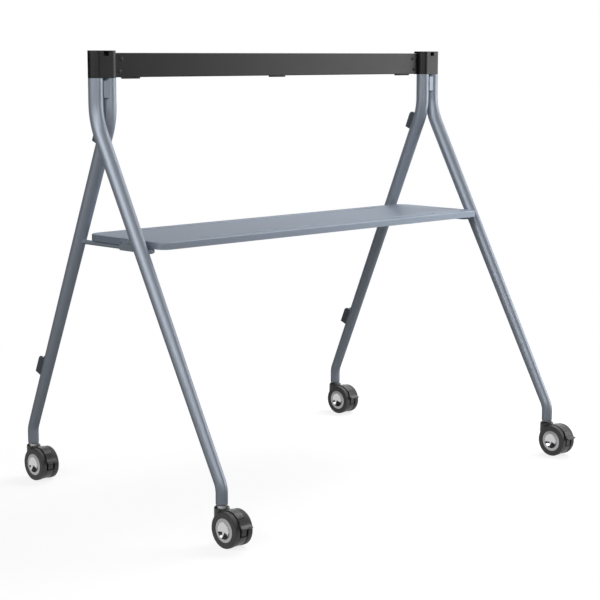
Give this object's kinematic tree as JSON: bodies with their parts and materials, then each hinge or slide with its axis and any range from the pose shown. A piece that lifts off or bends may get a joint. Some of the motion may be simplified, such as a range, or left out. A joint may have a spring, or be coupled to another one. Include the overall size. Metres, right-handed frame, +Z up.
{
  "type": "mobile tv stand",
  "caption": "Wheeled floor stand for a large screen: A-shaped tube side frames, a black crossbar, a tray shelf and braked twin-wheel casters.",
  "frame": {"origin": "on the floor under the middle of the outer box", "axes": "+Z up, +X to the right of somebody facing the stand's front, +Y to its rear"},
  "size_m": [1.5516, 1.095, 1.36],
  "materials": {
    "frame_paint": "satin blue-grey powder coat on steel tube",
    "shelf_paint": "fine-textured blue-grey powder coat on folded sheet",
    "black_coat": "fine-textured black powder coat",
    "black_screw": "black oxide socket screws",
    "caster_plastic": "moulded dark grey nylon",
    "wheel_tread": "dark grey soft tread on a moulded wheel with a chromed hub cup",
    "zinc_steel": "bright zinc-plated steel",
    "clip_plastic": "moulded blue-grey plastic",
    "pad_rubber": "black rubber"
  },
  "bodies": {
    "frame": {"leg_front_left": "frame_paint", "caster_front_left_stem": "zinc_steel", "leg_rear_left": "frame_paint", "caster_rear_left_stem": "zinc_steel", "top_cap_left": "black_coat", "leg_spacer_plate_left": "frame_paint", "crossbar_screw_left_upper": "black_screw", "crossbar_screw_left_lower": "black_screw", "shelf_rod_left": "frame_paint", "shelf_bracket_left": "frame_paint", "shelf_screw_left_front": "black_screw", "shelf_screw_left_rear": "black_screw", "cable_clip_left_upper": "clip_plastic", "cable_clip_left_lower": "clip_plastic", "leg_front_right": "frame_paint", "caster_front_right_stem": "zinc_steel", "leg_rear_right": "frame_paint", "caster_rear_right_stem": "zinc_steel", "top_cap_right": "black_coat", "leg_spacer_plate_right": "frame_paint", "crossbar_screw_right_upper": "black_screw", "crossbar_screw_right_lower": "black_screw", "shelf_rod_right": "frame_paint", "shelf_bracket_right": "frame_paint", "shelf_screw_right_front": "black_screw", "shelf_screw_right_rear": "black_screw", "cable_clip_right_upper": "clip_plastic", "cable_clip_right_lower": "clip_plastic", "crossbar": "black_coat", "crossbar_pad_left": "pad_rubber", "crossbar_pad_middle": "pad_rubber", "crossbar_pad_right": "pad_rubber", "shelf": "shelf_paint"},
    "caster_front_left": {"caster_front_left_fork": "caster_plastic", "caster_front_left_collar": "zinc_steel", "caster_front_left_axle": "zinc_steel"},
    "caster_front_left_wheel_left": {"caster_front_left_wheel_left": "wheel_tread"},
    "caster_front_left_wheel_right": {"caster_front_left_wheel_right": "wheel_tread"},
    "caster_front_left_brake_pedal": {"caster_front_left_brake_pedal": "caster_plastic"},
    "caster_rear_left": {"caster_rear_left_fork": "caster_plastic", "caster_rear_left_collar": "zinc_steel", "caster_rear_left_axle": "zinc_steel"},
    "caster_rear_left_wheel_left": {"caster_rear_left_wheel_left": "wheel_tread"},
    "caster_rear_left_wheel_right": {"caster_rear_left_wheel_right": "wheel_tread"},
    "caster_rear_left_brake_pedal": {"caster_rear_left_brake_pedal": "caster_plastic"},
    "caster_front_right": {"caster_front_right_fork": "caster_plastic", "caster_front_right_collar": "zinc_steel", "caster_front_right_axle": "zinc_steel"},
    "caster_front_right_wheel_left": {"caster_front_right_wheel_left": "wheel_tread"},
    "caster_front_right_wheel_right": {"caster_front_right_wheel_right": "wheel_tread"},
    "caster_front_right_brake_pedal": {"caster_front_right_brake_pedal": "caster_plastic"},
    "caster_rear_right": {"caster_rear_right_fork": "caster_plastic", "caster_rear_right_collar": "zinc_steel", "caster_rear_right_axle": "zinc_steel"},
    "caster_rear_right_wheel_left": {"caster_rear_right_wheel_left": "wheel_tread"},
    "caster_rear_right_wheel_right": {"caster_rear_right_wheel_right": "wheel_tread"},
    "caster_rear_right_brake_pedal": {"caster_rear_right_brake_pedal": "caster_plastic"}
  },
  "joints": [
    {"name": "caster_front_left_swivel", "type": "hinge", "parent": "frame", "child": "caster_front_left", "pos_m": [-0.74377, -0.4401, 0.1112], "axis": [0, 0, 1], "continuous": true},
    {"name": "caster_front_left_wheel_left_spin", "type": "hinge", "parent": "caster_front_left", "child": "caster_front_left_wheel_left", "pos_m": [-0.74377, -0.482, 0.0515], "axis": [1, 0, 0], "continuous": true},
    {"name": "caster_front_left_wheel_right_spin", "type": "hinge", "parent": "caster_front_left", "child": "caster_front_left_wheel_right", "pos_m": [-0.74377, -0.482, 0.0515], "axis": [1, 0, 0], "continuous": true},
    {"name": "caster_front_left_brake_press", "type": "hinge", "parent": "caster_front_left", "child": "caster_front_left_brake_pedal", "pos_m": [-0.74377, -0.513, 0.0695], "axis": [1, 0, 0], "range_deg": [0, 10]},
    {"name": "caster_rear_left_swivel", "type": "hinge", "parent": "frame", "child": "caster_rear_left", "pos_m": [-0.69623, 0.5255, 0.1112], "axis": [0, 0, 1], "continuous": true},
    {"name": "caster_rear_left_wheel_left_spin", "type": "hinge", "parent": "caster_rear_left", "child": "caster_rear_left_wheel_left", "pos_m": [-0.69623, 0.4836, 0.0515], "axis": [1, 0, 0], "continuous": true},
    {"name": "caster_rear_left_wheel_right_spin", "type": "hinge", "parent": "caster_rear_left", "child": "caster_rear_left_wheel_right", "pos_m": [-0.69623, 0.4836, 0.0515], "axis": [1, 0, 0], "continuous": true},
    {"name": "caster_rear_left_brake_press", "type": "hinge", "parent": "caster_rear_left", "child": "caster_rear_left_brake_pedal", "pos_m": [-0.69623, 0.4526, 0.0695], "axis": [1, 0, 0], "range_deg": [0, 10]},
    {"name": "caster_front_right_swivel", "type": "hinge", "parent": "frame", "child": "caster_front_right", "pos_m": [0.74377, -0.4401, 0.1112], "axis": [0, 0, 1], "continuous": true},
    {"name": "caster_front_right_wheel_left_spin", "type": "hinge", "parent": "caster_front_right", "child": "caster_front_right_wheel_left", "pos_m": [0.74377, -0.482, 0.0515], "axis": [1, 0, 0], "continuous": true},
    {"name": "caster_front_right_wheel_right_spin", "type": "hinge", "parent": "caster_front_right", "child": "caster_front_right_wheel_right", "pos_m": [0.74377, -0.482, 0.0515], "axis": [1, 0, 0], "continuous": true},
    {"name": "caster_front_right_brake_press", "type": "hinge", "parent": "caster_front_right", "child": "caster_front_right_brake_pedal", "pos_m": [0.74377, -0.513, 0.0695], "axis": [1, 0, 0], "range_deg": [0, 10]},
    {"name": "caster_rear_right_swivel", "type": "hinge", "parent": "frame", "child": "caster_rear_right", "pos_m": [0.69623, 0.5255, 0.1112], "axis": [0, 0, 1], "continuous": true},
    {"name": "caster_rear_right_wheel_left_spin", "type": "hinge", "parent": "caster_rear_right", "child": "caster_rear_right_wheel_left", "pos_m": [0.69623, 0.4836, 0.0515], "axis": [1, 0, 0], "continuous": true},
    {"name": "caster_rear_right_wheel_right_spin", "type": "hinge", "parent": "caster_rear_right", "child": "caster_rear_right_wheel_right", "pos_m": [0.69623, 0.4836, 0.0515], "axis": [1, 0, 0], "continuous": true},
    {"name": "caster_rear_right_brake_press", "type": "hinge", "parent": "caster_rear_right", "child": "caster_rear_right_brake_pedal", "pos_m": [0.69623, 0.4526, 0.0695], "axis": [1, 0, 0], "range_deg": [0, 10]}
  ]
}
